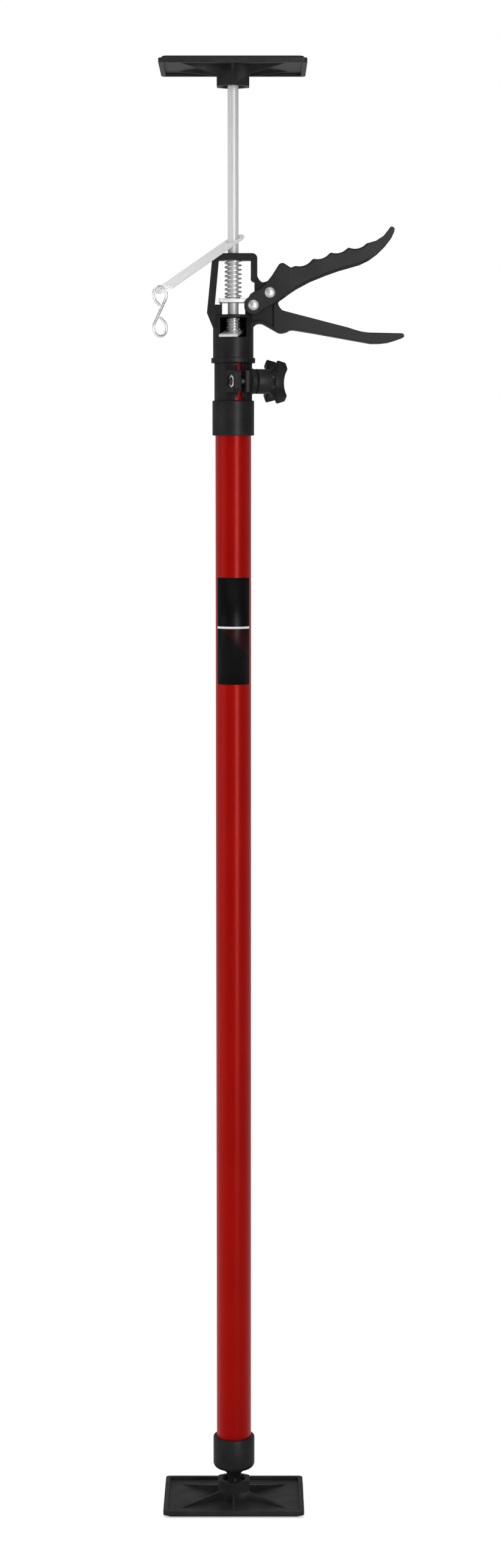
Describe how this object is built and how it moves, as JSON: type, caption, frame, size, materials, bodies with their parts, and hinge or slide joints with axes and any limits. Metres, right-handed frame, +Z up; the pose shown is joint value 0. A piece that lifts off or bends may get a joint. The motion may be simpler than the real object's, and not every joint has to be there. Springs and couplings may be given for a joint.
{
  "type": "adjustable steel prop",
  "caption": "Telescopic steel support pole with swivelling rubber-faced pads, a clamp collar and a squeeze-trigger rod feed.",
  "frame": {"origin": "on the floor, under the pole's axis, at the middle of the foot pad's rubber face", "axes": "+Z up along the pole, +X along the two trigger handles, -Y towards the side that the clamp's slit faces"},
  "size_m": [0.1949, 0.0928, 1.15],
  "materials": {
    "red_paint": "gloss powder coat",
    "black_nylon": "satin moulded nylon",
    "liner_nylon": "plain moulded nylon",
    "black_rubber": "matt rubber",
    "zinc_steel": "bright zinc plate",
    "rod_steel": "drawn and plated",
    "spring_steel": "bright nickel plate"
  },
  "bodies": {
    "foot_pad": {"foot_pad_plate": "black_nylon", "foot_pad_rubber": "black_rubber"},
    "foot_liner": {"foot_ball_liner": "liner_nylon"},
    "foot_ball": {"foot_ball_stud": "black_nylon"},
    "pole": {"outer_tube": "red_paint", "foot_cap": "black_nylon", "clamp_collar": "black_nylon", "clamp_nut": "zinc_steel"},
    "knob": {"clamp_screw": "zinc_steel", "clamp_knob": "black_nylon"},
    "glide": {"tube_glide": "black_nylon"},
    "head": {"inner_tube": "red_paint", "head_frame": "black_nylon", "head_rivet": "zinc_steel", "lever_rivet": "zinc_steel", "main_spring": "spring_steel", "lock_spring": "spring_steel"},
    "trigger": {"trigger_lever": "black_nylon", "push_pin": "zinc_steel"},
    "drive": {"drive_plate": "zinc_steel"},
    "lock": {"lock_plate": "zinc_steel"},
    "rod": {"push_rod": "rod_steel", "rod_stop_ring": "zinc_steel"},
    "strip": {"hanger_strip": "zinc_steel"},
    "hook": {"s_hook": "spring_steel"},
    "top_ball": {"top_ball": "black_nylon"},
    "top_liner": {"top_ball_liner": "liner_nylon"},
    "top_pad": {"top_pad_plate": "black_nylon", "top_pad_rubber": "black_rubber"}
  },
  "joints": [
    {"name": "foot_tilt_front", "type": "hinge", "parent": "foot_pad", "child": "foot_liner", "pos_m": [0, 0, 0.011], "axis": [1, 0, 0], "range_deg": [-15, 15]},
    {"name": "foot_tilt_side", "type": "hinge", "parent": "foot_liner", "child": "foot_ball", "pos_m": [0, 0, 0.011], "axis": [0, 1, 0], "range_deg": [-15, 15]},
    {"name": "foot_spin", "type": "hinge", "parent": "foot_ball", "child": "pole", "pos_m": [0, 0, 0.011], "axis": [0, 0, 1], "continuous": true},
    {"name": "knob_turn", "type": "hinge", "parent": "pole", "child": "knob", "pos_m": [0.00638, -0.01662, 0.9055], "axis": [0.9336, 0.3584, 0], "range_deg": [0, 720]},
    {"name": "tube_slide", "type": "slide", "parent": "pole", "child": "glide", "axis": [0, 0, 1], "range_m": [0, 0.7]},
    {"name": "head_turn", "type": "hinge", "parent": "glide", "child": "head", "pos_m": [0, 0, 0.5], "axis": [0, 0, 1], "continuous": true},
    {"name": "trigger_squeeze", "type": "hinge", "parent": "head", "child": "trigger", "pos_m": [0.0286, 0, 0.974], "axis": [0, 1, 0], "range_deg": [0, 28], "stiffness_Nm_per_rad": 0.35, "springref_deg": -28.65},
    {"name": "drive_lift", "type": "slide", "parent": "head", "child": "drive", "axis": [0, 0, 1], "range_m": [0, 0.0075], "deforming": ["main_spring"]},
    {"name": "lock_release", "type": "hinge", "parent": "head", "child": "lock", "pos_m": [0.00217, 0.01021, 0.94574], "axis": [-0.9781, 0.2079, 0], "range_deg": [0, 10], "stiffness_Nm_per_rad": 0.2, "springref_deg": -17.19, "deforming": ["lock_spring"]},
    {"name": "rod_slide", "type": "slide", "parent": "head", "child": "rod", "axis": [0, 0, 1], "range_m": [-0.1, 0.08]},
    {"name": "strip_lift", "type": "hinge", "parent": "head", "child": "strip", "pos_m": [0, 0, 1.01431], "axis": [-0.6428, 0.766, 0], "range_deg": [0, 30]},
    {"name": "hook_swing", "type": "hinge", "parent": "strip", "child": "hook", "pos_m": [-0.05566, -0.04671, 0.97236], "axis": [-0.6428, 0.766, 0], "range_deg": [-40, 40]},
    {"name": "top_spin", "type": "hinge", "parent": "rod", "child": "top_ball", "pos_m": [0, 0, 1.139], "axis": [0, 0, 1], "continuous": true},
    {"name": "top_tilt_side", "type": "hinge", "parent": "top_ball", "child": "top_liner", "pos_m": [0, 0, 1.139], "axis": [0, 1, 0], "range_deg": [-15, 15]},
    {"name": "top_tilt_front", "type": "hinge", "parent": "top_liner", "child": "top_pad", "pos_m": [0, 0, 1.139], "axis": [1, 0, 0], "range_deg": [-15, 15]}
  ],
  "couplings": [
    {"joint": "drive_lift", "follows": "trigger_squeeze", "m_per_rad": 0.0148}
  ]
}
